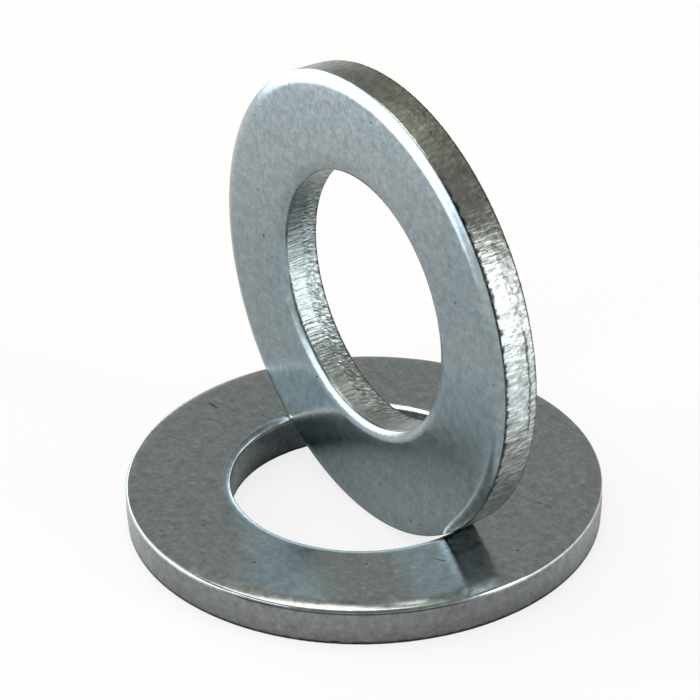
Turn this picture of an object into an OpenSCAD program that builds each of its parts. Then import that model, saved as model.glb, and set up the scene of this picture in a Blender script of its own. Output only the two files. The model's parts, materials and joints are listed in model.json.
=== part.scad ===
// Pair of stamped flat washers: one lies flat, its twin stands on edge in the bore of the first.
// Origin: on the lying washer's axis, at its underside. +Z is up, and the standing washer's
// rolled face looks along -Y. Sizes are in millimetres.

/* [Washer] */
// Outside diameter
outer_d = 34; // [31:0.5:38]
// Bore diameter
bore_d = 19; // [17:0.5:21]
// Thickness
thick = 3; // [2.4:0.1:4]
// How far above its centre the standing washer's bore was punched
bore_drift = 0.3; // [0:0.05:0.5]

/* [Rolled edges] */
// Width of the rolled-over rim, measured across the face
rim_roll_w = 0.9; // [0.4:0.1:1.4]
// Depth of the rolled-over rim, measured down the wall
rim_roll_h = 0.4; // [0.2:0.05:0.7]
// Width of the rolled-over edge of the bore, measured across the face
bore_roll_w = 0.7; // [0.3:0.1:1.2]
// Depth of the rolled-over edge of the bore, measured down the wall
bore_roll_h = 0.4; // [0.2:0.05:0.7]

/* [Sheared walls] */
// Height of the smooth sheared band on the rim
rim_smooth_h = 1.3; // [0.6:0.1:1.5]
// Height of the smooth sheared band in the bore
bore_smooth_h = 1.2; // [0.6:0.1:1.5]
// How far the torn part of a wall draws back by the time it meets the far face
tear_set = 0.08; // [0.04:0.01:0.2]
// Broken corner where a torn wall meets the far face
far_corner = 0.1; // [0.05:0.01:0.2]

/* [Seat] */
// Gap left between the standing washer and the rolled edge that it leans against
seat_gap = 0.02; // [0.01:0.01:0.1]

/* [Hidden] */
zinc = [0.63, 0.66, 0.67];
round_fn = 180;
roll_steps = 9;
seat_steps = 200;
cut_over = 1;
outer_r = outer_d / 2;
bore_r = bore_d / 2;

// Point on the quarter ellipse of a rolled edge: share 0 is on the wall and 1 is on the face.
// Side is 1 where the metal lies inside the wall and -1 where it lies outside.
function roll_point(wall_r, side, roll_w, roll_h, share) =
    [wall_r - side * roll_w * (1 - cos(90 * share)), thick - roll_h * (1 - sin(90 * share))];

// One wall from the far face up to the rolled face, with its broken corner, torn part,
// smooth band and rolled edge
function wall_points(wall_r, side, smooth_h, roll_w, roll_h) = concat(
    [
        [wall_r - side * (tear_set + far_corner), 0],
        [wall_r - side * tear_set, far_corner],
        [wall_r, thick - roll_h - smooth_h]
    ],
    [for (i = [0 : roll_steps]) roll_point(wall_r, side, roll_w, roll_h, i / roll_steps)]
);

// Radius of the lying washer's bore at a height above its underside, on its smooth band or its roll
function bore_r_at(z) =
    let (rise = max(0, z - thick + bore_roll_h) / bore_roll_h)
    bore_r + bore_roll_w * (1 - sqrt(max(0, 1 - rise * rise)));

// Heights at which the standing washer can meet the bore
seat_heights = [for (i = [0 : seat_steps]) thick * i / seat_steps];

// Square of how far from the bore's axis a standing ring fits, at its tightest height
function reach_squared(ring_r, lift) = min([
    for (z = seat_heights)
        pow(bore_r_at(z), 2) - pow(ring_r, 2) + pow(outer_r + lift - z, 2)
]);

// Lift above the ground at which a ring fits the bore at a given distance from its axis
function lift_at(ring_r, distance) = max([
    for (z = seat_heights)
        z - outer_r + sqrt(max(0, pow(ring_r, 2) + pow(distance, 2) - pow(bore_r_at(z), 2)))
]);

// The standing washer meets the bore at the end of its torn part, or of its smooth band.
torn_r = outer_r - tear_set;
smooth_to_far = thick - rim_roll_h - rim_smooth_h;
// It stands on the ground where the bore lets it down that far, and else hangs on the rolled edge.
needed_lift = max(lift_at(torn_r, thick / 2), lift_at(outer_r, thick / 2));
stand_lift = needed_lift > 0 ? needed_lift + seat_gap : 0;
torn_reach = sqrt(reach_squared(torn_r, stand_lift)) + far_corner;
smooth_reach = sqrt(reach_squared(outer_r, stand_lift)) + smooth_to_far;
// It leans back from the axis until it meets the rolled edge of the bore.
stand_back = min(torn_reach, smooth_reach) - seat_gap;

// The disc that is stamped out, on its far face and with its rolled edge up
module blank() {
    rotate_extrude($fn = round_fn)
        polygon(concat(
            [[0, 0]],
            wall_points(outer_r, 1, rim_smooth_h, rim_roll_w, rim_roll_h),
            [[0, thick]]
        ));
}

// What the punch takes out of the blank, run past both faces
module punched_hole() {
    rotate_extrude($fn = round_fn)
        polygon(concat(
            [[0, -cut_over], [bore_r + tear_set + far_corner, -cut_over]],
            wall_points(bore_r, -1, bore_smooth_h, bore_roll_w, bore_roll_h),
            [[bore_r + bore_roll_w, thick + cut_over], [0, thick + cut_over]]
        ));
}

module stamped_washer(drift) {
    difference() {
        blank();
        translate([0, drift, 0])
            punched_hole();
    }
}

module lying_washer() {
    color(zinc)
        stamped_washer(0);
}

module standing_washer() {
    color(zinc)
        translate([0, stand_back, outer_r + stand_lift])
            rotate([90, 0, 0])
                stamped_washer(bore_drift);
}

lying_washer();
standing_washer();
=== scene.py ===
"""Looks of a pair of stamped, zinc-plated flat washers: one lies flat, its twin stands in its bore.

Lengths are millimetres in the washers' own frame, with the washer's axis along Z and its rolled
face up, until a finished mesh is scaled to metres.
"""

import json
import logging
import math
from dataclasses import dataclass, field
from enum import Enum
from typing import Any

import bmesh
import bpy
from mathutils import Matrix, Vector, noise

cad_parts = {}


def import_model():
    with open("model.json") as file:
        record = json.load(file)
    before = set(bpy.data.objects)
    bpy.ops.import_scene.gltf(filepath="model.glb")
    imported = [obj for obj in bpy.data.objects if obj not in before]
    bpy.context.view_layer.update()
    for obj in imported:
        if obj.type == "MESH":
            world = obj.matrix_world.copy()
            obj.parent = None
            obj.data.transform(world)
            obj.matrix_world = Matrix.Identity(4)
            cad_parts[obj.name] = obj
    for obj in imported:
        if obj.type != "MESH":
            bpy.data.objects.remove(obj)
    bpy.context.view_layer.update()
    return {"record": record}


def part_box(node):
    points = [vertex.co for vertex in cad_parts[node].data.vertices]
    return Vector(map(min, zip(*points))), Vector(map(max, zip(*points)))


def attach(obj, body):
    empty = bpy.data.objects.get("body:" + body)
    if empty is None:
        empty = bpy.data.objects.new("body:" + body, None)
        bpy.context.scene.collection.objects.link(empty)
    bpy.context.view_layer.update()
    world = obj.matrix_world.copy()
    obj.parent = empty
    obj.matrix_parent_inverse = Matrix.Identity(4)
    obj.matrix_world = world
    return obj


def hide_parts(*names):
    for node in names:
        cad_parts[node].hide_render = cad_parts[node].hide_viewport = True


MM = 0.001
UP = Vector((0.0, 0.0, 1.0))
LOG = logging.getLogger("flat_washers")

# Points of a section this close to a line, in millimetres, count as on it.
CLOSE = 1e-3
# The middle of what a noise texture gives
NOISE_MIDDLE = 0.5
# The sockets of a Mix node that mixes colours
MIX_FACTOR, MIX_FIRST, MIX_SECOND, MIX_RESULT = 0, 6, 7, 2

# What a washer's mesh stores at each vertex: its place on the clean washer, that place turned by
# the lean of the tears, and from 0 to 1 how much each kind of surface shows there, among them
# the painted highlight, the painted shade of a wall's side and the painted shade of hollows and
# edges
PLACE = "washer_mm"
LEANING = "leaning_mm"
SHARES = ("torn", "sheared", "rolled", "inside", "painted_highlight", "side_shade", "painted_shade")

Triple = tuple[float, float, float]
Pixel = tuple[float, float]
Span = tuple[float, float]


def smooth_rise(low: float, high: float, value: float) -> float:
    """Rises smoothly from 0 to 1 between two values.

    Args:
        low: The value at which the rise starts.
        high: The value at which it ends.
        value: The value to look up.

    Returns:
        A number from 0 to 1.
    """
    share = min(1.0, max(0.0, (value - low) / (high - low)))
    return share * share * (3.0 - 2.0 * share)


def bell(centre: float, width: float, value: float) -> float:
    """Returns 1 at the centre, falling smoothly to 0 at a distance of width."""
    return 1.0 - smooth_rise(0.0, width, abs(value - centre))


def grain_at(point: Vector, across: float, along: float, seed: float) -> float:
    """Looks up smooth noise whose grain is stretched along the washer's axis.

    Args:
        point: Where to look, in millimetres.
        across: Size of the grain across the axis, in millimetres.
        along: Size of the grain along the axis, in millimetres.
        seed: An offset that makes one pattern differ from another.

    Returns:
        A number from about -1 to 1.
    """
    return noise.noise(Vector((point.x / across + seed, point.y / across, point.z / along - seed)))


class Zone(Enum):
    """The parts of a stamped section, each with a relief of its own."""

    FACE = "rolled face, where it is flat"
    ROLLED = "rolled edge"
    WALL = "smooth band and torn part"
    BURR = "edge of the far face"
    FAR = "far face"


class Pattern(Enum):
    """The noise patterns of a wall.

    The last number is how strong a pattern is. A grain of 9 mm or more along the axis makes one
    that changes only round the wall.
    """

    BORDER = (0.0, 2.4, 9.0, 1.0)
    FINE_BORDER = (3.0, 0.5, 9.0, 0.5)
    LINES = (5.0, 0.17, 2.2, 1.0)
    WIDE_LINES = (6.0, 0.42, 3.0, 0.8)
    TEETH = (7.0, 0.30, 9.0, 1.0)
    TEARS = (9.0, 0.40, 0.32, 0.6)
    LEANING_TEARS = (11.0, 0.18, 0.80, 0.8)
    CRACK = (13.0, 1.4, 50.0, 0.10)
    FINE_CRACK = (14.0, 0.25, 50.0, 0.16)
    BURR = (17.0, 0.28, 9.0, 1.0)
    FOOT = (21.0, 0.5, 9.0, 0.08)

    def __init__(self, offset: float, across: float, along: float, strength: float) -> None:
        """Names a pattern's numbers.

        Args:
            offset: What makes its noise differ from that of the other patterns.
            across: Size of the grain across the axis, in millimetres.
            along: Size of the grain along the axis, in millimetres.
            strength: What the noise is multiplied by.
        """
        self.offset = offset
        self.across = across
        self.along = along
        self.strength = strength


@dataclass(frozen=True)
class StudioCamera:
    """The camera at the photograph's viewing angle, found by fitting the washers' rings."""

    azimuth_deg: float = 56.18
    elevation_deg: float = 30.68
    roll_deg: float = -0.98
    distance_mm: float = 286.06
    target_mm: Triple = (0.263, -1.167, 13.909)
    focal_px: float = 4098.0
    image_px: float = 700.0
    sensor_mm: float = 36.0
    clip_m: Span = (0.01, 20.0)

    def axes(self) -> tuple[Vector, Vector, Vector]:
        """Works out the camera's axes.

        Returns:
            Unit vectors to the image's right, to its top and back towards the camera.
        """
        azimuth = math.radians(self.azimuth_deg)
        elevation = math.radians(self.elevation_deg)
        back = Vector((
            math.sin(azimuth) * math.cos(elevation),
            -math.cos(azimuth) * math.cos(elevation),
            math.sin(elevation),
        ))
        level = Vector((math.cos(azimuth), math.sin(azimuth), 0.0))
        upright = back.cross(level)
        roll = math.radians(self.roll_deg)
        right = math.cos(roll) * level + math.sin(roll) * upright
        top = math.cos(roll) * upright - math.sin(roll) * level
        return right, top, back

    def place_mm(self) -> Vector:
        """Returns where the camera stands, in millimetres."""
        return Vector(self.target_mm) + self.axes()[2] * self.distance_mm

    def meet_plane(self, pixel: Pixel, point: Vector, normal: Vector) -> Vector:
        """Finds where the line of sight through a pixel meets a plane.

        Args:
            pixel: Pixel of the photograph, 700 wide and 700 high.
            point: A point of the plane, in millimetres.
            normal: The plane's normal.

        Returns:
            The point of the plane that the pixel shows, in millimetres.
        """
        right, top, back = self.axes()
        middle = self.image_px / 2
        sight = right * (pixel[0] - middle) - top * (pixel[1] - middle) - back * self.focal_px
        start = self.place_mm()
        reach = (point - start).dot(normal) / sight.dot(normal)
        return start + sight * reach

    def build(self) -> None:
        """Makes the camera and gives it to the scene."""
        data = bpy.data.cameras.new("studio_camera")
        data.sensor_fit = "HORIZONTAL"
        data.sensor_width = self.sensor_mm
        data.lens = self.focal_px / self.image_px * self.sensor_mm
        data.clip_start, data.clip_end = self.clip_m
        camera = bpy.data.objects.new("studio_camera", data)
        right, top, back = self.axes()
        turn = Matrix((right, top, back)).transposed().to_4x4()
        camera.matrix_world = Matrix.Translation(self.place_mm() * MM) @ turn
        bpy.context.scene.collection.objects.link(camera)
        bpy.context.scene.camera = camera


class ShaderGraph:
    """A node tree that is written as expressions."""

    def __init__(self, tree: bpy.types.NodeTree) -> None:
        """Starts from an empty tree.

        Args:
            tree: The node tree of a material or a world.
        """
        self.tree = tree
        self.tree.nodes.clear()

    def node(
        self,
        kind: str,
        settings: dict[str, Any] | None = None,
        inputs: dict[str | int, Any] | None = None,
    ) -> bpy.types.Node:
        """Adds a node, sets it up and fills its sockets.

        Args:
            kind: The node's type, such as ShaderNodeTexNoise.
            settings: The node's own properties, set before its sockets.
            inputs: Values or links, by the socket's name or number.

        Returns:
            The new node.
        """
        made = self.tree.nodes.new(kind)
        for name, setting in (settings or {}).items():
            setattr(made, name, setting)
        for name, given in (inputs or {}).items():
            self.feed(made.inputs[name], given)
        return made

    def feed(self, socket: bpy.types.NodeSocket, given: Any) -> None:
        """Links a socket to another, or sets its value.

        Args:
            socket: The input socket.
            given: A Value, a socket, or a plain number or tuple.
        """
        if isinstance(given, Value):
            self.tree.links.new(given.socket, socket)
        elif isinstance(given, bpy.types.NodeSocket):
            self.tree.links.new(given, socket)
        else:
            socket.default_value = given

    def vector(
        self, operation: str, first: Any, second: Any = (0.0, 0.0, 0.0)
    ) -> bpy.types.NodeSocket:
        """Adds a Vector Math node and returns its vector."""
        made = self.node("ShaderNodeVectorMath", {"operation": operation}, {0: first, 1: second})
        return made.outputs["Vector"]

    def stretch(self, first: Any, factor: Any) -> bpy.types.NodeSocket:
        """Scales a vector by one number or Value and returns the result."""
        made = self.node("ShaderNodeVectorMath", {"operation": "SCALE"}, {0: first, "Scale": factor})
        return made.outputs["Vector"]

    def measure(self, operation: str, first: Any, second: Any = (0.0, 0.0, 0.0)) -> "Value":
        """Adds a Vector Math node that ends in a number, such as DISTANCE, and returns it."""
        made = self.node("ShaderNodeVectorMath", {"operation": operation}, {0: first, 1: second})
        return Value(self, made.outputs["Value"])

    def colour(self, factor: Any, first: Any, second: Any) -> bpy.types.NodeSocket:
        """Mixes two colours.

        Args:
            factor: How much of the second colour shows, from 0 to 1.
            first: The first colour, as a link or three numbers.
            second: The second colour, as a link or three numbers.

        Returns:
            The colour that results.
        """
        inputs = {MIX_FACTOR: factor}
        for socket, colour in ((MIX_FIRST, first), (MIX_SECOND, second)):
            linked = isinstance(colour, bpy.types.NodeSocket)
            inputs[socket] = colour if linked else (*colour, 1.0)
        made = self.node("ShaderNodeMix", {"data_type": "RGBA"}, inputs)
        return made.outputs[MIX_RESULT]

    def noise(self, place: Any, scale: float, detail: float = 2.0, roughness: float = 0.5) -> "Value":
        """Adds a noise texture.

        Args:
            place: Where to look it up, as a vector.
            scale: How often it repeats for each unit of place.
            detail: How many finer layers are laid over the first.
            roughness: How strong each finer layer is.

        Returns:
            Its value, from about 0.2 to 0.8.
        """
        made = self.node(
            "ShaderNodeTexNoise",
            {"noise_dimensions": "3D"},
            {"Vector": place, "Scale": scale, "Detail": detail, "Roughness": roughness},
        )
        return Value(self, made.outputs["Fac"])

    def attribute(self, name: str) -> bpy.types.Node:
        """Reads one of the mesh's own attributes and returns the node."""
        return self.node("ShaderNodeAttribute", {"attribute_name": name})


class Value:
    """A number in a shader, which the usual operators turn into Math nodes."""

    def __init__(self, graph: ShaderGraph, socket: bpy.types.NodeSocket) -> None:
        """Wraps an output socket.

        Args:
            graph: The graph that the socket belongs to.
            socket: The socket that gives the number.
        """
        self.graph = graph
        self.socket = socket

    def math(self, operation: str, first: Any, second: Any = 0.0) -> "Value":
        """Adds a Math node and returns its result."""
        made = self.graph.node("ShaderNodeMath", {"operation": operation}, {0: first, 1: second})
        return Value(self.graph, made.outputs[0])

    def __add__(self, other: Any) -> "Value":
        """Adds a number or Value."""
        return self.math("ADD", self, other)

    def __radd__(self, other: Any) -> "Value":
        """Adds this to a number."""
        return self.math("ADD", other, self)

    def __sub__(self, other: Any) -> "Value":
        """Takes a number or Value away."""
        return self.math("SUBTRACT", self, other)

    def __rsub__(self, other: Any) -> "Value":
        """Takes this away from a number."""
        return self.math("SUBTRACT", other, self)

    def __mul__(self, other: Any) -> "Value":
        """Multiplies by a number or Value."""
        return self.math("MULTIPLY", self, other)

    def __rmul__(self, other: Any) -> "Value":
        """Multiplies a number by this."""
        return self.math("MULTIPLY", other, self)

    def greater_of(self, other: Any) -> "Value":
        """Returns the greater of this and another."""
        return self.math("MAXIMUM", self, other)

    def lesser_of(self, other: Any) -> "Value":
        """Returns the lesser of this and another."""
        return self.math("MINIMUM", self, other)

    def rise(self, low: float, high: float, start: float = 0.0, end: float = 1.0) -> "Value":
        """Changes smoothly from start to end while this goes from low to high.

        Args:
            low: Where the change starts.
            high: Where it ends.
            start: The result below low.
            end: The result above high.

        Returns:
            The smoothed number.
        """
        made = self.graph.node(
            "ShaderNodeMapRange",
            {"interpolation_type": "SMOOTHSTEP"},
            {"Value": self, "From Min": low, "From Max": high, "To Min": start, "To Max": end},
        )
        return Value(self.graph, made.outputs["Result"])


@dataclass(frozen=True)
class Surface:
    """What a washer's mesh stores, as its material reads it."""

    place: bpy.types.NodeSocket
    leaning: bpy.types.NodeSocket
    torn: Value
    sheared: Value
    rolled: Value
    inside: Value
    painted_highlight: Value
    side_shade: Value
    painted_shade: Value

    @classmethod
    def read(cls, graph: ShaderGraph) -> "Surface":
        """Reads the stored attributes into a graph.

        Args:
            graph: The material's graph.

        Returns:
            The places and the shares.
        """
        place = graph.attribute(PLACE).outputs["Vector"]
        leaning = graph.attribute(LEANING).outputs["Vector"]
        shares = {name: Value(graph, graph.attribute(name).outputs["Fac"]) for name in SHARES}
        return cls(place, leaning, **shares)


@dataclass(frozen=True)
class Dot:
    """A small dark speck or hollow on a face, in full depth over a share of its radius."""

    pixel: Pixel
    radius: float = 0.10
    depth: float = 0.6
    core: float = 0.4


@dataclass(frozen=True)
class Scratch:
    """A short straight scratch on a face, in full depth over a share of its half width."""

    start: Pixel
    end: Pixel
    half_w: float = 0.06
    depth: float = 0.6
    core: float = 0.3


@dataclass(frozen=True)
class ZincFinish:
    """Bright zinc plate on stamped steel.

    The face is satin with a mottled grain, the rolled edges are polished by the die, and the
    walls have fine lines along the axis and a torn, dimpled part. Painted shade darkens one side
    of a wall, and painted highlights lighten rolled edges, burrs and one side of a hole. Of a
    pattern, the value that ends in per_mm is how often it repeats, the one in mm is its height,
    the one in shade is how much it darkens and lightens the zinc, and the one in calm is the share
    of it that is lost where a side of a wall has painted shade. Levels are those of the noise
    between which clouds or specks come in.
    """

    name: str
    tone: Triple = (0.300, 0.355, 0.380)
    cloud_tone: Triple = (0.325, 0.362, 0.375)
    rim_tone: Triple = (0.335, 0.360, 0.360)
    bore_tone: Triple = (0.290, 0.335, 0.345)
    # A side of a wall with painted shade keeps this share of its tone
    side_shade_share: Triple = (0.67, 0.68, 0.63)
    # The near-white tone of painted highlights
    highlight_tone: Triple = (0.90, 0.92, 0.92)

    face_roughness: float = 0.20
    rolled_roughness: float = 0.17
    sheared_roughness: float = 0.28
    torn_roughness: float = 0.32
    mottle_roughness: float = 0.10

    cloud_per_mm: float = 0.13
    cloud_levels: Span = (0.40, 0.62)
    mottle_per_mm: float = 1.3
    mottle_mm: float = 0.004
    mottle_shade: float = 0.50
    grain_per_mm: float = 3.0
    grain_mm: float = 0.0015
    grain_shade: float = 0.38
    speck_per_mm: float = 2.4
    light_levels: Span = (0.72, 0.86)
    light_shade: float = 0.25
    dark_levels: Span = (0.24, 0.14)
    dark_shade: float = 0.30

    line_per_turn: float = 62.0
    line_per_mm: float = 0.45
    line_mm: float = 0.055
    line_shade: float = 1.0
    line_calm: float = 0.6
    tear_squash: float = 0.55
    dimple_per_mm: float = 4.6
    dimple_mm: float = 0.080
    dimple_shade: float = 2.4
    rim_dimples: float = 0.35
    blotch_per_mm: float = 3.2
    blotch_mm: float = 0.0
    blotch_shade: float = 0.0
    blotch_calm: float = 0.7
    painted_shade_strength: float = 0.93
    mark_mm: float = 0.015
    mark_shade: float = 0.90

    def build(
        self,
        dots: list[tuple[Vector, Dot]],
        scratches: list[tuple[Vector, Vector, Scratch]],
    ) -> bpy.types.Material:
        """Makes the material.

        Args:
            dots: Where each dot lies, in the washer's own millimetres.
            scratches: Where each scratch starts and ends, in the same millimetres.

        Returns:
            The finished material.
        """
        material = bpy.data.materials.new(self.name)
        material.use_nodes = True
        graph = ShaderGraph(material.node_tree)
        on = Surface.read(graph)
        wall = on.torn + on.sheared
        mottle = graph.noise(on.place, self.mottle_per_mm, detail=1.0) - NOISE_MIDDLE
        grain = graph.noise(on.place, self.grain_per_mm, detail=0.0) - NOISE_MIDDLE
        streaks, tears, blotches = self.wall_patterns(graph, on, wall)
        marks = self.marks(graph, on.place, dots, scratches)
        shade = (
            (1.0 + self.mottle_shade * mottle)
            * (1.0 + self.grain_shade * grain)
            * (1.0 + self.specks(graph, on, wall))
            * (1.0 + self.blotch_shade * blotches)
            * (1.0 + self.line_shade * streaks)
            * (1.0 + self.dimple_shade * tears)
            # Painted shade in seams, cracks, deep tears, at the feet of walls and at far edges
            * (1.0 - self.painted_shade_strength * on.painted_shade)
            * (1.0 - self.mark_shade * marks)
        )
        roughness = (
            self.face_roughness
            + (self.rolled_roughness - self.face_roughness) * on.rolled
            + (self.sheared_roughness - self.face_roughness) * on.sheared
            + (self.torn_roughness - self.face_roughness) * on.torn
            + self.mottle_roughness * mottle
        )
        height = (
            self.mottle_mm * mottle
            + self.grain_mm * grain
            + self.blotch_mm * blotches
            + self.line_mm * streaks
            + self.dimple_mm * tears
            - self.mark_mm * marks
        )
        bump = graph.node("ShaderNodeBump", None, {"Strength": 1.0, "Distance": MM, "Height": height})
        shader = graph.node("ShaderNodeBsdfPrincipled", None, {
            "Base Color": graph.stretch(self.tint(graph, on, wall), shade),
            "Metallic": 1.0,
            "Roughness": roughness,
            "Normal": bump.outputs["Normal"],
        })
        graph.node("ShaderNodeOutputMaterial", None, {"Surface": shader.outputs["BSDF"]})
        return material

    def tint(self, graph: ShaderGraph, on: Surface, wall: Value) -> bpy.types.NodeSocket:
        """Colours the zinc by where it lies, with painted shade on one side of a wall and painted
        highlights, before the patterns shade it.

        Args:
            graph: The material's graph.
            on: What the mesh stores.
            wall: 1 on the walls and 0 elsewhere.

        Returns:
            The colour.
        """
        clouds = graph.noise(on.place, self.cloud_per_mm, detail=3.0).rise(*self.cloud_levels)
        face = graph.colour(clouds, self.tone, self.cloud_tone)
        bright = graph.colour(on.inside, self.rim_tone, self.bore_tone)
        # Painted shade darkens one side of a wall
        side_shaded = graph.vector("MULTIPLY", bright, self.side_shade_share)
        side = graph.colour(on.side_shade, bright, side_shaded)
        # Painted highlights lighten rolled edges, burrs and one side of a hole
        return graph.colour(on.painted_highlight, graph.colour(wall, face, side), self.highlight_tone)

    def specks(self, graph: ShaderGraph, on: Surface, wall: Value) -> Value:
        """Makes the fine light and dark specks of the flat faces.

        Args:
            graph: The material's graph.
            on: What the mesh stores.
            wall: 1 on the walls and 0 elsewhere.

        Returns:
            How much lighter, or below 0 how much darker, they make the zinc.
        """
        flat = 1.0 - wall.greater_of(on.rolled)
        level = graph.noise(on.place, self.speck_per_mm, detail=0.0)
        light = level.rise(*self.light_levels)
        dark = level.rise(*self.dark_levels)
        return flat * (self.light_shade * light - self.dark_shade * dark)

    def wall_patterns(
        self, graph: ShaderGraph, on: Surface, wall: Value
    ) -> tuple[Value, Value, Value]:
        """Makes the patterns of the walls, which are 0 on the faces.

        Args:
            graph: The material's graph.
            on: What the mesh stores.
            wall: 1 on the walls and 0 elsewhere.

        Returns:
            The lines, the dimples of the torn part and the long blotches, each around 0.
        """
        squashed = graph.vector("MULTIPLY", on.leaning, (1.0, 1.0, self.tear_squash))
        lines = self.axial_lines(graph, on.place) - NOISE_MIDDLE
        dimples = graph.noise(squashed, self.dimple_per_mm, detail=1.0) - NOISE_MIDDLE
        flakes = graph.noise(squashed, self.blotch_per_mm, detail=1.0) - NOISE_MIDDLE
        dimpled = self.rim_dimples + (1.0 - self.rim_dimples) * on.inside
        blotched = (1.0 - self.blotch_calm * on.inside) * (1.0 - self.blotch_calm * on.side_shade)
        streaks = wall * (1.0 - self.line_calm * on.side_shade) * lines
        return streaks, on.torn * dimpled * dimples, wall * blotched * flakes

    def axial_lines(self, graph: ShaderGraph, place: bpy.types.NodeSocket) -> Value:
        """Makes the fine lines that the punch draws along the washer's axis.

        Args:
            graph: The material's graph.
            place: The washer's own millimetres.

        Returns:
            A number from about 0.2 to 0.8 that changes fast around the wall and slowly along it.
        """
        around = graph.vector("NORMALIZE", graph.vector("MULTIPLY", place, (1.0, 1.0, 0.0)))
        turned = graph.stretch(around, self.line_per_turn)
        risen = graph.vector("MULTIPLY", place, (0.0, 0.0, self.line_per_mm))
        place = graph.vector("ADD", turned, risen)
        return graph.noise(place, scale=1.0, detail=3.0, roughness=0.6)

    def marks(
        self,
        graph: ShaderGraph,
        place: bpy.types.NodeSocket,
        dots: list[tuple[Vector, Dot]],
        scratches: list[tuple[Vector, Vector, Scratch]],
    ) -> Value | float:
        """Makes the specks and scratches of the face.

        Args:
            graph: The material's graph.
            place: The washer's own millimetres.
            dots: Where each dot lies, with its size.
            scratches: Where each scratch starts and ends, with its size.

        Returns:
            A number that is 0 on clean metal and rises towards 1 inside a mark.
        """
        total: Value | float = 0.0
        for centre, dot in dots:
            away = graph.measure("DISTANCE", place, tuple(centre))
            mark = away.rise(dot.core * dot.radius, dot.radius, dot.depth, 0.0)
            total = mark.greater_of(total)
        for start, end, scratch in scratches:
            run = end - start
            offset = graph.vector("SUBTRACT", place, tuple(start))
            share = graph.measure("DOT_PRODUCT", offset, tuple(run / run.length_squared))
            nearest = graph.stretch(tuple(run), share.greater_of(0.0).lesser_of(1.0))
            away = graph.measure("DISTANCE", offset, nearest)
            mark = away.rise(scratch.core * scratch.half_w, scratch.half_w, scratch.depth, 0.0)
            total = mark.greater_of(total)
        return total


@dataclass(frozen=True)
class WallGrain:
    """How the punch and the die left one edge and wall of a washer.

    Lengths are millimetres, directions are degrees round the washer's own axis, and the rest are
    shares from 0 to 1.
    """

    # The rolled edge, with the small round corner between it and the wall
    roll_w: float
    roll_h: float = 0.4
    corner: float = 0.20
    corner_h: float = 0.18
    corner_lean: float = 0.0
    # The fine lines of the smooth band, and how far its border with the torn part wanders
    line_depth: float = 0.010
    wander: float = 0.18
    # The tears: their depth, how far they lean for each millimetre along the axis, and how strong
    # the painted shade of the deepest is
    tear_depth: float = 0.035
    tear_lean: float = 0.9
    hollow_shade: float = 0.3
    # The toothed groove under the rolled edge, darkened by painted shade, and the stretch of the wall
    # that has it
    seam_depth: float = 0.02
    seam_tooth: float = 0.09
    seam_wander: float = 0.07
    seam_shade: float = 1.0
    seam_deg: Span = (-180.0, 180.0)
    # The crack along the torn part, darkened by painted shade, and its stretch
    crack_height: float = 0.67
    crack_half_w: float = 0.11
    crack_depth: float = 0.0
    crack_deg: Span = (0.0, 0.0)
    # The painted highlight of the rolled edge, between two depths below the face
    painted_highlight: float = 0.0
    highlight_depths: Span = (0.0, 0.3)
    # The painted light on one side of the wall
    wall_highlight: float = 0.0
    wall_highlight_towards_deg: float = 0.0
    # The edge of the far face, with painted glints on its burrs, and the painted shade at the foot
    # of the wall above it
    ragged: float = 0.03
    burr: float = 0.0
    foot: float = 0.26
    # The side of the wall that is darkened by painted shade
    side_shade: float = 0.0
    side_shade_towards_deg: float = 0.0


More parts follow.
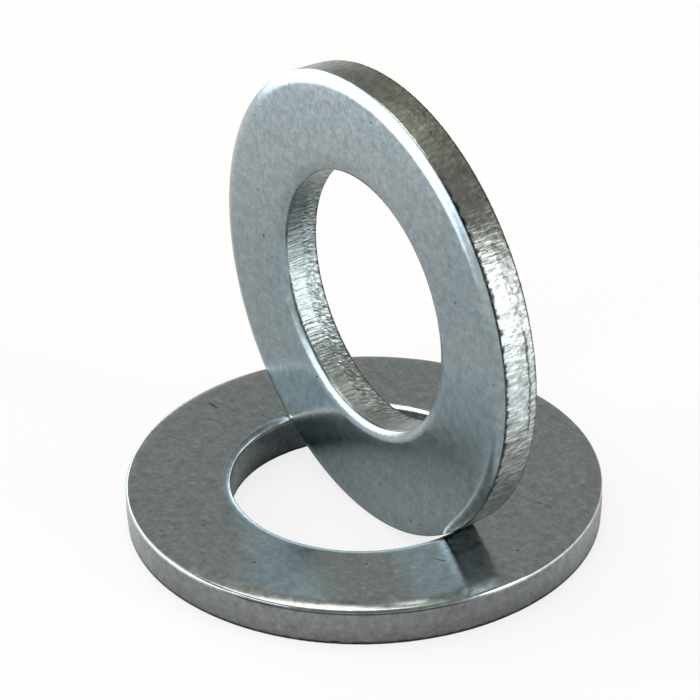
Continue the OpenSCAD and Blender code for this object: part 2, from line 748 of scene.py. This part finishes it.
@dataclass(frozen=True)
class Edge:
    """One wall of a washer's section, from the far face up to where the rolled face is flat.

    The side is 1 where the metal lies inside the wall and -1 where it lies outside. Lengths are
    millimetres.
    """

    wall_r: float
    side: float
    thick: float
    smooth_h: float
    grain: WallGrain
    seed: float

    # The section's far corner, and the ring of the far face that is kept narrow beside it
    tear_set: float = 0.08
    far_corner: float = 0.1
    far_margin: float = 0.1
    # How finely the section is drawn
    far_cuts: int = 1
    torn_cuts: int = 17
    smooth_cuts: int = 15
    corner_steps: int = 6
    roll_steps: int = 8
    roll_crowding: float = 1.3

    # Where and how softly the kinds of surface start and end
    side_cosines: Span = (0.2, 0.8)
    seam_fade_deg: float = 20.0
    crack_fade_deg: float = 8.0
    torn_fade: Span = (-0.15, 0.10)
    hollow_shade_levels: Span = (0.45, 0.9)
    least_tooth: float = 0.03
    tooth_core: float = 0.3
    # The painted shade at the wall's foot: how softly it fades and how dark it is
    foot_fade: float = 0.15
    foot_shade: float = 0.8
    roll_start: float = 0.1
    seam_foot: float = 0.08
    # The heights over which the seam's painted shade fades up the rolled edge
    seam_shade_heights: Span = (0.04, 0.10)
    highlight_fade: float = 0.25
    # How far the burrs reach, the painted shade between them, and the level above which a burr gets a
    # painted glint
    burr_reach: float = 0.01
    far_edge_shade: float = 0.75
    burr_level: float = 0.42
    ragged_level: float = 0.4

    def torn_top(self) -> float:
        """Returns the height at which the torn part ends and the smooth band starts."""
        return self.thick - self.grain.roll_h - self.smooth_h

    def far_w(self) -> float:
        """Returns how far in from the wall the far face starts."""
        return self.tear_set + self.far_corner

    def at(self, inwards: float, height: float) -> Vector:
        """Returns the point of the section that lies so far in from the wall and so high."""
        return Vector((self.wall_r - self.side * inwards, 0.0, height))

    def outline(self) -> list[Vector]:
        """Draws the wall, from a narrow ring of the far face up to the flat of the rolled face.

        Returns:
            The points of the section, in the XZ plane.
        """
        wall = [
            self.at(self.far_w() + self.far_margin, 0.0),
            self.at(self.far_w(), 0.0),
            self.at(self.tear_set, self.far_corner),
            self.at(0.0, self.torn_top()),
            self.at(0.0, self.thick - self.grain.roll_h),
        ]
        roll = [self.at(inwards, self.thick - below) for inwards, below in self.roll_curve()]
        return wall + roll

    def cuts(self) -> list[int]:
        """Returns how many cuts each line of the outline gets."""
        wall = [0, self.far_cuts, self.torn_cuts, self.smooth_cuts]
        return wall + [0] * (self.corner_steps + self.roll_steps)

    def roll_curve(self) -> list[tuple[float, float]]:
        """Draws a rolled edge above its foot: a small round corner, then a long gentle slope.

        The slope is a parabola that ends level with the face, and the corner is a smooth curve
        that runs into it.

        Returns:
            How far in from the wall and how far below the face each point lies.
        """
        corner, width = self.grain.corner, self.grain.roll_w
        drop = self.grain.roll_h - self.grain.corner_h
        left = 1.0 - corner / width
        corner_drop = drop * left**2
        slope = 2.0 * drop / width * left
        bend = corner * self.grain.corner_lean
        bend_drop = corner_drop + (corner - bend) * slope
        points = []
        for step in range(1, self.corner_steps + 1):
            share = step / self.corner_steps
            middle = 2.0 * share * (1.0 - share)
            below = (1.0 - share) ** 2 * self.grain.roll_h
            below += middle * bend_drop + share**2 * corner_drop
            points.append((middle * bend + share**2 * corner, below))
        for step in range(1, self.roll_steps + 1):
            share = (step / self.roll_steps) ** self.roll_crowding
            inwards = corner + (width - corner) * share
            points.append((inwards, drop * (1.0 - inwards / width) ** 2))
        return points

    def zone_of(self, point: Vector) -> Zone:
        """Names the part of the section that a point lies on.

        Args:
            point: A point of the clean washer.

        Returns:
            The zone.
        """
        inwards = self.side * (self.wall_r - math.hypot(point.x, point.y))
        if point.z > self.thick - CLOSE and inwards > self.grain.roll_w - CLOSE:
            return Zone.FACE
        if point.z > self.thick - self.grain.roll_h - CLOSE:
            return Zone.ROLLED
        if inwards <= self.far_w() - CLOSE:
            return Zone.WALL
        return Zone.BURR if inwards < self.far_w() + self.burr_reach else Zone.FAR

    def leaning(self, point: Vector) -> Vector:
        """Turns a point about the axis, so that what is looked up there leans with the tears."""
        turn = self.grain.tear_lean * point.z / math.hypot(point.x, point.y)
        return Matrix.Rotation(turn, 3, UP) @ point

    def noise_at(self, point: Vector, pattern: Pattern) -> float:
        """Looks up one of the wall's noise patterns."""
        found = grain_at(point, pattern.across, pattern.along, self.seed + pattern.offset)
        return pattern.strength * found

    def towards_share(self, point: Vector, towards_deg: float) -> float:
        """Returns 1 for points on the side that faces a direction, and 0 for the opposite ones."""
        angle = math.atan2(point.y, point.x) - math.radians(towards_deg)
        return smooth_rise(*self.side_cosines, math.cos(angle))

    def stretch_share(self, point: Vector, stretch_deg: Span, fade_deg: float) -> float:
        """Tells whether a point lies on a stretch of the wall.

        Args:
            point: The point.
            stretch_deg: The directions in which the stretch starts and ends.
            fade_deg: The part of it that fades at each end.

        Returns:
            1 on the stretch, 0 off it, and something between where it fades.
        """
        start, end = stretch_deg
        angle = math.degrees(math.atan2(point.y, point.x))
        begun = smooth_rise(start, start + fade_deg, angle)
        return begun * (1.0 - smooth_rise(end - fade_deg, end, angle))

    def seam_share(self, point: Vector) -> float:
        """Returns how much of the seam and its painted shade shows beside a point, from 0 to 1."""
        return self.stretch_share(point, self.grain.seam_deg, self.seam_fade_deg)

    def torn_share(self, point: Vector) -> float:
        """Tells the torn part from the smooth band, with a border that wanders round the wall.

        Args:
            point: A point of the clean wall.

        Returns:
            1 on the torn part, 0 on the smooth band, and something between at the border.
        """
        wander = self.noise_at(point, Pattern.BORDER) + self.noise_at(point, Pattern.FINE_BORDER)
        border = self.torn_top() + self.grain.wander * wander
        low, high = self.torn_fade
        return 1.0 - smooth_rise(border + low, border + high, point.z)

    def tooth_share(self, point: Vector) -> float:
        """Tells how far down a wall the toothed seam under the rolled edge reaches.

        Args:
            point: A point of the clean wall.

        Returns:
            1 just under the rolled edge, and 0 below the tooth that hangs there.
        """
        below = self.thick - self.grain.roll_h - point.z
        tooth = self.grain.seam_tooth + self.grain.seam_wander * self.noise_at(point, Pattern.TEETH)
        tooth = max(self.least_tooth, tooth)
        return 1.0 - smooth_rise(self.tooth_core * tooth, tooth, below)

    def crack_share(self, point: Vector) -> float:
        """Tells whether a point lies in the crack along the torn part.

        Args:
            point: A point of the clean wall.

        Returns:
            1 in the middle of the crack, falling to 0 beside it.
        """
        if self.grain.crack_depth == 0.0:
            return 0.0
        height = self.grain.crack_height
        height += self.noise_at(point, Pattern.CRACK) + self.noise_at(point, Pattern.FINE_CRACK)
        stretch = self.stretch_share(point, self.grain.crack_deg, self.crack_fade_deg)
        return stretch * bell(height, self.grain.crack_half_w, point.z)

    def foot_shade_share(self, point: Vector) -> float:
        """Returns how much painted shade the foot of the wall has at a point, from 0 to 1."""
        top = self.grain.foot + self.noise_at(point, Pattern.FOOT)
        return self.foot_shade * (1.0 - smooth_rise(top - self.foot_fade, top, point.z))

    def relief(self, point: Vector) -> tuple[float, dict[str, float]]:
        """Works out the relief at a point of the clean washer.

        Args:
            point: The point.

        Returns:
            How far the metal stands proud of the clean washer there, and the shares to store.
        """
        zone = self.zone_of(point)
        if zone is Zone.WALL:
            return self.wall_relief(point)
        if zone is Zone.ROLLED:
            return self.roll_relief(point)
        if zone is Zone.BURR:
            return self.burr_relief(point)
        return 0.0, {}

    def wall_relief(self, point: Vector) -> tuple[float, dict[str, float]]:
        """Works out the relief of the smooth band and the torn part.

        Args:
            point: A point of the clean wall.

        Returns:
            How far the metal stands proud there, and the shares to store.
        """
        grain = self.grain
        torn = self.torn_share(point)
        seam = self.seam_share(point) * self.tooth_share(point)
        crack = self.crack_share(point)
        lines = self.noise_at(point, Pattern.LINES) + self.noise_at(point, Pattern.WIDE_LINES)
        tears = self.noise_at(point, Pattern.TEARS)
        tears += self.noise_at(self.leaning(point), Pattern.LEANING_TEARS)
        # Painted shade darkens the deepest tears
        painted_shade = grain.hollow_shade * torn * smooth_rise(*self.hollow_shade_levels, -tears)
        proud = grain.line_depth * lines + torn * grain.tear_depth * tears
        proud -= grain.seam_depth * seam + grain.crack_depth * crack
        shares = {
            "torn": torn,
            "sheared": 1.0 - torn,
            # Painted light on one side of the wall
            "painted_highlight": grain.wall_highlight * self.towards_share(point, grain.wall_highlight_towards_deg),
            # Painted shade of the deepest tears, the crack, the seam and the wall's foot
            "painted_shade": min(1.0, max(painted_shade, crack, grain.seam_shade * seam, self.foot_shade_share(point))),
        }
        return proud, shares

    def roll_relief(self, point: Vector) -> tuple[float, dict[str, float]]:
        """Works out the relief of the rolled edge, whose foot the seam cuts into.

        Args:
            point: A point of the clean rolled edge.

        Returns:
            How far the metal stands proud there, and the shares to store.
        """
        grain = self.grain
        below = self.thick - point.z
        above = grain.roll_h - below
        seam = self.seam_share(point)
        foot = 1.0 - smooth_rise(0.0, self.seam_foot, above)
        # The seam's painted shade reaches a little way up the rolled edge
        dark = 1.0 - smooth_rise(*self.seam_shade_heights, above)
        top, bottom = grain.highlight_depths
        fade = self.highlight_fade * (bottom - top)
        begun = smooth_rise(top, top + fade, below)
        ended = smooth_rise(bottom - fade, bottom, below)
        shares = {
            "rolled": smooth_rise(0.0, self.roll_start, below),
            "painted_shade": grain.seam_shade * seam * dark,
            # A painted highlight in a band of the rolled edge, away from the seam
            "painted_highlight": grain.painted_highlight * begun * (1.0 - ended) * (1.0 - seam),
        }
        return -grain.seam_depth * seam * foot, shares

    def burr_relief(self, point: Vector) -> tuple[float, dict[str, float]]:
        """Works out how ragged the edge of the far face is, and where it has a burr, with a painted
        glint on each burr and painted shade between them.

        Args:
            point: A point of that edge.

        Returns:
            How far the metal stands proud there, and the shares to store.
        """
        jitter = self.noise_at(point, Pattern.BURR)
        # Painted shade between the burrs, and a painted glint on each burr
        shares = {"painted_shade": self.far_edge_shade}
        if jitter > self.burr_level:
            shares = {"painted_highlight": self.grain.burr}
        return self.grain.ragged * (jitter - self.ragged_level), shares


@dataclass(frozen=True)
class Sizes:
    """The sizes that both washers share, in millimetres."""

    outer_d: float
    bore_d: float
    thick: float
    rim_smooth_h: float = 1.3
    bore_smooth_h: float = 1.2


@dataclass
class StampedWasher:
    """One flat washer, stamped from sheet in one piece."""

    node: str
    sizes: Sizes
    drift: float
    finish: ZincFinish
    rim_grain: WallGrain
    bore_grain: WallGrain
    upright: bool
    seed: float
    dots: list[Dot] = field(default_factory=list)
    scratches: list[Scratch] = field(default_factory=list)
    # What makes the bore's grain differ from the rim's
    bore_seed: float = 31.7
    # How finely the faces are cut, and how the ring is turned from sectors
    face_cuts: int = 4
    far_cuts: int = 2
    sector_steps: int = 28
    doublings: int = 5
    merge_mm: float = 1e-4
    # How far from the bore and from the rim the faces take up the drift of the hole
    drift_margins: Span = (0.8, 1.0)
    bm: bmesh.types.BMesh = field(default_factory=bmesh.new)

    def rim(self) -> Edge:
        """Returns the outside wall."""
        sizes = self.sizes
        return Edge(sizes.outer_d / 2, 1.0, sizes.thick, sizes.rim_smooth_h, self.rim_grain, self.seed)

    def bore(self) -> Edge:
        """Returns the wall of the hole."""
        sizes, seed = self.sizes, self.seed + self.bore_seed
        return Edge(sizes.bore_d / 2, -1.0, sizes.thick, sizes.bore_smooth_h, self.bore_grain, seed)

    def draw_section(self) -> None:
        """Draws the closed section in the XZ plane, and cuts its long edges into short ones."""
        rim, bore = self.rim(), self.bore()
        points = bore.outline() + rim.outline()[::-1]
        cuts = bore.cuts() + [self.face_cuts] + rim.cuts()[::-1] + [self.far_cuts]
        verts = [self.bm.verts.new(point) for point in points]
        edges = [self.bm.edges.new(pair) for pair in zip(verts, verts[1:] + verts[:1])]
        for edge, count in zip(edges, cuts):
            if count:
                bmesh.ops.subdivide_edges(self.bm, edges=[edge], cuts=count)

    def spin_section(self) -> None:
        """Turns the section into a sector of the ring, and doubles that until the ring is closed."""
        sector = math.tau / 2**self.doublings
        bmesh.ops.spin(
            self.bm,
            geom=self.bm.verts[:] + self.bm.edges[:],
            cent=(0.0, 0.0, 0.0),
            axis=UP,
            dvec=(0.0, 0.0, 0.0),
            angle=sector,
            steps=self.sector_steps,
            use_merge=False,
            use_duplicate=False,
        )
        for doubling in range(self.doublings):
            whole = self.bm.verts[:] + self.bm.edges[:] + self.bm.faces[:]
            copied = bmesh.ops.duplicate(self.bm, geom=whole)["geom"]
            verts = [item for item in copied if isinstance(item, bmesh.types.BMVert)]
            turn = Matrix.Rotation(sector * 2**doubling, 3, UP)
            bmesh.ops.rotate(self.bm, cent=(0.0, 0.0, 0.0), matrix=turn, verts=verts)
        bmesh.ops.remove_doubles(self.bm, verts=self.bm.verts[:], dist=self.merge_mm)

    def weather(self) -> None:
        """Gives the walls their relief, and stores at each vertex what it lies on, with its painted
        shade and painted highlight.
        """
        layers = self.bm.verts.layers
        place_layer = layers.float_vector.new(PLACE)
        leaning_layer = layers.float_vector.new(LEANING)
        share_layers = {name: layers.float.new(name) for name in SHARES}
        rim, bore = self.rim(), self.bore()
        middle_r = (rim.wall_r + bore.wall_r) / 2
        for vert in self.bm.verts:
            radius = math.hypot(vert.co.x, vert.co.y)
            edge = rim if radius > middle_r else bore
            vert[place_layer] = vert.co
            vert[leaning_layer] = edge.leaning(vert.co)
            proud, found = edge.relief(vert.co)
            shares = dict.fromkeys(SHARES, 0.0) | found
            shares["inside"] = float(edge is bore)
            # Painted shade on one side of the wall
            shares["side_shade"] = edge.grain.side_shade * edge.towards_share(vert.co, edge.grain.side_shade_towards_deg)
            outwards = Vector((vert.co.x, vert.co.y, 0.0)) / radius * edge.side
            vert.co += outwards * proud
            for name, layer in share_layers.items():
                vert[layer] = shares[name]

    def offset_bore(self) -> None:
        """Moves the hole off centre by as much as it was punched, and leaves the rim in place."""
        bore_margin, rim_margin = self.drift_margins
        start = self.sizes.bore_d / 2 + bore_margin
        end = self.sizes.outer_d / 2 - rim_margin
        for vert in self.bm.verts:
            radius = math.hypot(vert.co.x, vert.co.y)
            vert.co.y += self.drift * (1.0 - smooth_rise(start, end, radius))

    def local_to_row(self) -> Matrix:
        """Works out where the washer stands from the frame's own box of its node.

        Returns:
            The move from the washer's own frame to its place, in millimetres.
        """
        low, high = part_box(self.node)
        middle = (low + high) / 2 / MM
        if not self.upright:
            return Matrix.Translation((middle.x, middle.y, low.z / MM))
        stand = Matrix.Rotation(math.pi / 2, 4, "X")
        return Matrix.Translation((middle.x, high.y / MM, middle.z)) @ stand

    def face_point(self, camera: StudioCamera, pixel: Pixel) -> Vector:
        """Finds the point of the rolled face that a pixel shows.

        Args:
            camera: The camera.
            pixel: The pixel of the photograph.

        Returns:
            The point in the washer's own frame, in millimetres.
        """
        move = self.local_to_row()
        origin = move @ Vector((0.0, 0.0, self.sizes.thick))
        normal = move.to_3x3() @ UP
        return move.inverted() @ camera.meet_plane(pixel, origin, normal)

    def build(self, camera: StudioCamera) -> bpy.types.Object:
        """Makes the washer's mesh and dresses it.

        Args:
            camera: The camera, whose pixels place the marks.

        Returns:
            The finished piece.
        """
        self.draw_section()
        self.spin_section()
        self.weather()
        self.offset_bore()
        bmesh.ops.recalc_face_normals(self.bm, faces=self.bm.faces[:])
        bmesh.ops.transform(self.bm, matrix=self.local_to_row(), verts=self.bm.verts[:])
        for vert in self.bm.verts:
            vert.co.z = max(0.0, vert.co.z)
        bmesh.ops.scale(self.bm, vec=(MM, MM, MM), verts=self.bm.verts[:])
        for face in self.bm.faces:
            face.smooth = True
        mesh = bpy.data.meshes.new(self.node + "_dressed")
        self.bm.to_mesh(mesh)
        self.bm.free()
        dots = [(self.face_point(camera, dot.pixel), dot) for dot in self.dots]
        scratches = [
            (self.face_point(camera, line.start), self.face_point(camera, line.end), line)
            for line in self.scratches
        ]
        mesh.materials.append(self.finish.build(dots, scratches))
        piece = bpy.data.objects.new(self.node + "_dressed", mesh)
        bpy.context.scene.collection.objects.link(piece)
        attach(piece, "root")
        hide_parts(self.node)
        return piece


@dataclass(frozen=True)
class Softbox:
    """A rectangular studio lamp that faces the middle of the washers."""

    name: str
    towards: Triple
    width_m: float
    height_m: float
    radiance: float
    tint: Triple = (1.0, 1.0, 1.0)
    distance_m: float = 0.5
    aim_mm: Triple = (0.0, 0.0, 10.0)

    def build(self) -> None:
        """Makes the lamp, which the camera doesn't see."""
        data = bpy.data.lights.new(self.name, "AREA")
        data.shape = "RECTANGLE"
        data.size = self.width_m
        data.size_y = self.height_m
        data.energy = self.radiance * math.pi * self.width_m * self.height_m
        data.color = self.tint
        lamp = bpy.data.objects.new(self.name, data)
        way = Vector(self.towards).normalized()
        turn = way.to_track_quat("Z", "Y").to_matrix().to_4x4()
        place = way * self.distance_m + Vector(self.aim_mm) * MM
        lamp.matrix_world = Matrix.Translation(place) @ turn
        lamp.visible_camera = False
        bpy.context.scene.collection.objects.link(lamp)


@dataclass(frozen=True)
class SkyPatch:
    """A soft-edged patch of the surroundings that the metal mirrors.

    It is round, unless flatten makes it so many times wider than it is high.
    """

    towards: Triple
    full_deg: float
    fade_deg: float
    colour: Triple
    flatten: float = 1.0


@dataclass(frozen=True)
class Card:
    """A bright card that lies on the floor, which only the metal mirrors.

    The cards carry the light of the windows on down the metal.
    """

    name: str
    middle_mm: Triple
    width_mm: float
    length_mm: float
    turn_deg: float
    colour: Triple
    glow: float

    def build(self) -> None:
        """Makes the card."""
        bm = bmesh.new()
        bmesh.ops.create_grid(bm, x_segments=1, y_segments=1, size=0.5)
        bmesh.ops.scale(bm, vec=(self.width_mm * MM, self.length_mm * MM, 1.0), verts=bm.verts[:])
        turn = Matrix.Rotation(math.radians(self.turn_deg), 4, UP)
        place = Matrix.Translation(Vector(self.middle_mm) * MM)
        bmesh.ops.transform(bm, matrix=place @ turn, verts=bm.verts[:])
        mesh = bpy.data.meshes.new(self.name)
        bm.to_mesh(mesh)
        bm.free()
        mesh.materials.append(self.material())
        card = bpy.data.objects.new(self.name, mesh)
        card.visible_camera = False
        card.visible_diffuse = False
        card.visible_shadow = False
        card.visible_transmission = False
        bpy.context.scene.collection.objects.link(card)

    def material(self) -> bpy.types.Material:
        """Makes the card's plain glow.

        Returns:
            The material.
        """
        material = bpy.data.materials.new(self.name)
        material.use_nodes = True
        graph = ShaderGraph(material.node_tree)
        settings = {"Color": (*self.colour, 1.0), "Strength": self.glow}
        light = graph.node("ShaderNodeEmission", None, settings)
        graph.node("ShaderNodeOutputMaterial", None, {"Surface": light.outputs["Emission"]})
        return material


@dataclass(frozen=True)
class Studio:
    """The floor, the surroundings and the lamps.

    In what the metal mirrors, the floor is darkened by painted shade near the washers, and shows
    white further off only on its bright side.
    """

    floor_albedo: Triple = (0.86, 0.86, 0.86)
    floor_near_shade: Triple = (0.67, 0.695, 0.73)
    floor_white: float = 0.8
    floor_white_mirrored: float = 0.7
    near_mm: float = 34.0
    far_mm: float = 80.0
    bright_side: Triple = (-0.966, 0.259, 0.0)
    bright_side_mm: Span = (-8.0, 10.0)
    floor_half_m: float = 6.0
    floor_drop_mm: float = 0.01
    ambient: Triple = (0.46, 0.445, 0.40)
    patches: tuple[SkyPatch, ...] = (
        SkyPatch(
            towards=(-0.866, -0.50, 0.04),
            full_deg=46.0,
            fade_deg=58.0,
            colour=(4.0, 4.2, 4.3),
            flatten=4.5,
        ),
        SkyPatch(
            towards=(-0.714, -0.478, 0.51),
            full_deg=12.0,
            fade_deg=20.0,
            colour=(1.54, 1.56, 1.52),
        ),
        SkyPatch(
            towards=(0.75, -0.55, 0.40),
            full_deg=26.0,
            fade_deg=40.0,
            colour=(0.32, 0.32, 0.30),
        ),
    )
    softboxes: tuple[Softbox, ...] = (
        Softbox(
            name="back_window",
            towards=(0.83, 0.48, 0.29),
            width_m=0.16,
            height_m=0.34,
            radiance=5.2,
        ),
        Softbox(
            name="front_box",
            towards=(0.05, -0.87, 0.47),
            width_m=0.26,
            height_m=0.20,
            radiance=3.0,
        ),
        Softbox(
            name="overhead_box",
            towards=(-0.27, 0.03, 0.962),
            width_m=0.40,
            height_m=0.27,
            radiance=3.3,
            tint=(1.0, 0.91, 0.78),
        ),
    )
    cards: tuple[Card, ...] = (
        Card(
            name="front_card",
            middle_mm=(-907.4, -511.0, 0.2),
            width_mm=1400.0,
            length_mm=1400.0,
            turn_deg=162.0,
            colour=(0.95, 1.0, 1.03),
            glow=4.0,
        ),
        Card(
            name="back_near_card",
            middle_mm=(38.2, 21.8, 0.2),
            width_mm=50.0,
            length_mm=24.0,
            turn_deg=-60.3,
            colour=(0.97, 1.0, 1.0),
            glow=1.9,
        ),
        Card(
            name="back_far_card",
            middle_mm=(135.6, 77.2, 0.2),
            width_mm=160.0,
            length_mm=200.0,
            turn_deg=-60.3,
            colour=(0.97, 1.0, 1.0),
            glow=1.9,
        ),
    )

    def build(self) -> None:
        """Makes the floor, the surroundings, the lamps and the cards."""
        self.build_floor()
        self.build_world()
        for softbox in self.softboxes:
            softbox.build()
        for card in self.cards:
            card.build()

    def build_floor(self) -> None:
        """Lays a plain white floor just under the washers."""
        bm = bmesh.new()
        bmesh.ops.create_grid(bm, x_segments=1, y_segments=1, size=self.floor_half_m)
        bmesh.ops.translate(bm, vec=(0.0, 0.0, -self.floor_drop_mm * MM), verts=bm.verts[:])
        mesh = bpy.data.meshes.new("floor")
        bm.to_mesh(mesh)
        bm.free()
        mesh.materials.append(self.floor_material())
        floor = bpy.data.objects.new("floor", mesh)
        bpy.context.scene.collection.objects.link(floor)

    def floor_material(self) -> bpy.types.Material:
        """Makes the floor's white, which keeps the washers' soft shadow.

        Returns:
            The material.
        """
        material = bpy.data.materials.new("studio_floor")
        material.use_nodes = True
        graph = ShaderGraph(material.node_tree)
        path = graph.node("ShaderNodeLightPath")
        seen = Value(graph, path.outputs["Is Camera Ray"])
        glossy = Value(graph, path.outputs["Is Glossy Ray"])
        through = Value(graph, path.outputs["Is Transmission Ray"])
        mirrored = (glossy + through).lesser_of(1.0)
        place = graph.node("ShaderNodeTexCoord").outputs["Object"]
        far = graph.measure("LENGTH", place).rise(self.near_mm * MM, self.far_mm * MM)
        start, end = self.bright_side_mm
        bright = graph.measure("DOT_PRODUCT", place, self.bright_side).rise(start * MM, end * MM)
        # Mirrored rays see the floor near the washers darkened by painted shade
        tone = graph.colour(mirrored * (1.0 - far), self.floor_albedo, self.floor_near_shade)
        paint = graph.node("ShaderNodeBsdfDiffuse", None, {"Color": tone})
        white = graph.node("ShaderNodeEmission", None, {"Color": (1.0, 1.0, 1.0, 1.0), "Strength": 1.0})
        mixed = graph.node("ShaderNodeMixShader", None, {
            0: self.floor_white * seen + self.floor_white_mirrored * mirrored * far * bright,
            1: paint.outputs["BSDF"],
            2: white.outputs["Emission"],
        })
        graph.node("ShaderNodeOutputMaterial", None, {"Surface": mixed.outputs["Shader"]})
        return material

    def build_world(self) -> None:
        """Surrounds the washers with soft, mostly even light, which the camera sees as white."""
        world = bpy.data.worlds.new("studio")
        world.use_nodes = True
        bpy.context.scene.world = world
        graph = ShaderGraph(world.node_tree)
        way = graph.node("ShaderNodeTexCoord").outputs["Generated"]
        colour: Any = self.ambient
        for patch in self.patches:
            flatten = Vector((1.0, 1.0, patch.flatten))
            centre = Vector(a * b for a, b in zip(patch.towards, flatten)).normalized()
            pressed = graph.vector("MULTIPLY", way, tuple(flatten))
            nearness = graph.measure("DOT_PRODUCT", graph.vector("NORMALIZE", pressed), tuple(centre))
            start = math.cos(math.radians(patch.fade_deg))
            end = math.cos(math.radians(patch.full_deg))
            colour = graph.colour(nearness.rise(start, end), colour, patch.colour)
        seen = graph.node("ShaderNodeLightPath").outputs["Is Camera Ray"]
        shown = graph.colour(seen, colour, (1.0, 1.0, 1.0))
        background = graph.node("ShaderNodeBackground", None, {"Color": shown, "Strength": 1.0})
        graph.node("ShaderNodeOutputWorld", None, {"Surface": background.outputs["Background"]})


# The marks of the faces, placed by their pixels in the photograph: dots with their radius and
# depth, and scratches with their half width and depth
LYING_DOTS = [
    Dot((254, 562), 0.16, 0.9),
    Dot((367, 564), 0.16, 0.9),
    Dot((213, 405), 0.20, 0.9),
    Dot((203, 525), 0.14, 0.7),
    Dot((540, 503), 0.16, 0.8),
    Dot((518, 550), 0.16, 0.8),
]
LYING_SCRATCHES = [
    Scratch((430, 558), (445, 561), 0.10, 0.8),
    Scratch((209, 403), (217, 408), 0.12, 0.9),
    Scratch((479, 519), (494, 508), 0.12, 0.8),
    Scratch((513, 494), (552, 507), 0.08, 0.35),
]
STANDING_DOTS = [
    Dot((264, 238), 0.17, 0.95),
    Dot((255, 116), 0.14, 0.8),
    Dot((261, 121), 0.10, 0.6),
    Dot((371, 124), 0.18, 0.7),
    Dot((455, 305), 0.20, 0.5),
    Dot((317, 381), 0.14, 0.8),
    Dot((411, 521), 0.16, 0.7),
    Dot((420, 525), 0.16, 0.6),
]


def mount_of(record: dict[str, Any], name: str) -> dict[str, Any]:
    """Finds a mount of the record by its name.

    Args:
        record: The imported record.
        name: The mount's name.

    Returns:
        The mount.
    """
    return next(mount for mount in record["mounts"] if mount["name"] == name)


def lying_washer(sizes: Sizes) -> StampedWasher:
    """Describes the washer that lies flat, whose walls are smoother, with painted shade on the front
    of its rim and inside its hole.

    Args:
        sizes: The washers' sizes.

    Returns:
        The washer, not built yet.
    """
    return StampedWasher(
        node="lying_washer",
        sizes=sizes,
        drift=0.0,
        finish=ZincFinish(
            name="lying_zinc",
            rim_tone=(0.41, 0.44, 0.45),
            # The dark tone of the hole's wall is painted shade inside the hole
            bore_tone=(0.190, 0.220, 0.235),
            # The painted shade on the front of the rim keeps this share of its tone
            side_shade_share=(0.66, 0.635, 0.65),
            line_mm=0.008,
            line_shade=0.4,
            dimple_mm=0.012,
            dimple_shade=0.8,
        ),
        rim_grain=WallGrain(
            roll_w=1.3,
            roll_h=0.44,
            corner_h=0.22,
            line_depth=0.004,
            tear_depth=0.008,
            hollow_shade=0.0,
            seam_wander=0.02,
            seam_deg=(-80.0, 4.0),
            # A painted highlight along the rolled edge
            painted_highlight=0.9,
            highlight_depths=(0.26, 0.50),
            foot=0.36,
            # Painted shade darkens the front of the rim
            side_shade=1.0,
            side_shade_towards_deg=-42.0,
        ),
        bore_grain=WallGrain(
            roll_w=0.7,
            corner=0.12,
            corner_h=0.20,
            line_depth=0.004,
            tear_depth=0.010,
            hollow_shade=0.0,
            seam_wander=0.02,
            seam_shade=0.0,
            seam_deg=(0.0, 0.0),
            # A painted highlight along the hole's rolled edge, and painted light on one side of its
            # wall
            painted_highlight=0.9,
            highlight_depths=(0.03, 0.32),
            wall_highlight=0.6,
            wall_highlight_towards_deg=-90.0,
        ),
        upright=False,
        seed=2.0,
        dots=LYING_DOTS,
        scratches=LYING_SCRATCHES,
    )


def standing_washer(sizes: Sizes, drift: float) -> StampedWasher:
    """Describes the washer that stands on edge, whose walls are more torn, with a brighter hole,
    painted shade on the top of its rim and painted glints on the edge of its far face.

    Args:
        sizes: The washers' sizes.
        drift: How far above its centre its hole was punched, in millimetres.

    Returns:
        The washer, not built yet.
    """
    return StampedWasher(
        node="standing_washer",
        sizes=sizes,
        drift=drift,
        finish=ZincFinish(
            name="standing_zinc",
            tone=(0.285, 0.348, 0.382),
            cloud_tone=(0.310, 0.357, 0.380),
            rim_tone=(0.315, 0.340, 0.340),
            rolled_roughness=0.23,
            line_mm=0.060,
            line_shade=1.7,
            dimple_mm=0.070,
            blotch_mm=0.045,
            blotch_shade=1.7,
        ),
        rim_grain=WallGrain(
            roll_w=1.05,
            roll_h=0.36,
            corner=0.05,
            corner_h=0.05,
            corner_lean=0.5,
            tear_depth=0.020,
            tear_lean=0.35,
            seam_tooth=0.20,
            seam_wander=0.45,
            seam_deg=(-90.0, 66.0),
            crack_depth=0.06,
            crack_deg=(-14.0, 22.0),
            ragged=0.05,
            # Painted glints on the burrs of the far edge
            burr=1.0,
            # Painted shade darkens the top of the rim
            side_shade=1.0,
            side_shade_towards_deg=95.0,
        ),
        bore_grain=WallGrain(
            roll_w=0.95,
            roll_h=0.40,
            corner=0.10,
            corner_h=0.08,
            corner_lean=0.5,
            tear_depth=0.014,
            tear_lean=0.30,
            seam_depth=0.01,
            seam_shade=0.25,
        ),
        upright=True,
        seed=5.0,
        dots=STANDING_DOTS,
    )


def main() -> None:
    """Builds the scene."""
    logging.basicConfig(level=logging.INFO, format="%(name)s: %(message)s")
    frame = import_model()
    bpy.context.scene.view_settings.view_transform = "Standard"
    low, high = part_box("lying_washer")
    bore = mount_of(frame["record"], "standing_bore")
    sizes = Sizes(
        outer_d=(high.x - low.x) / MM,
        bore_d=2 * bore["dims"]["r_mm"],
        thick=(high.z - low.z) / MM,
    )
    drift = bore["pos_m"][2] / MM - sizes.outer_d / 2
    camera = StudioCamera()
    camera.build()
    for washer in (lying_washer(sizes), standing_washer(sizes, drift)):
        piece = washer.build(camera)
        LOG.info("%s has %d faces", piece.name, len(piece.data.polygons))
    Studio().build()


if __name__ == "__main__":
    main()
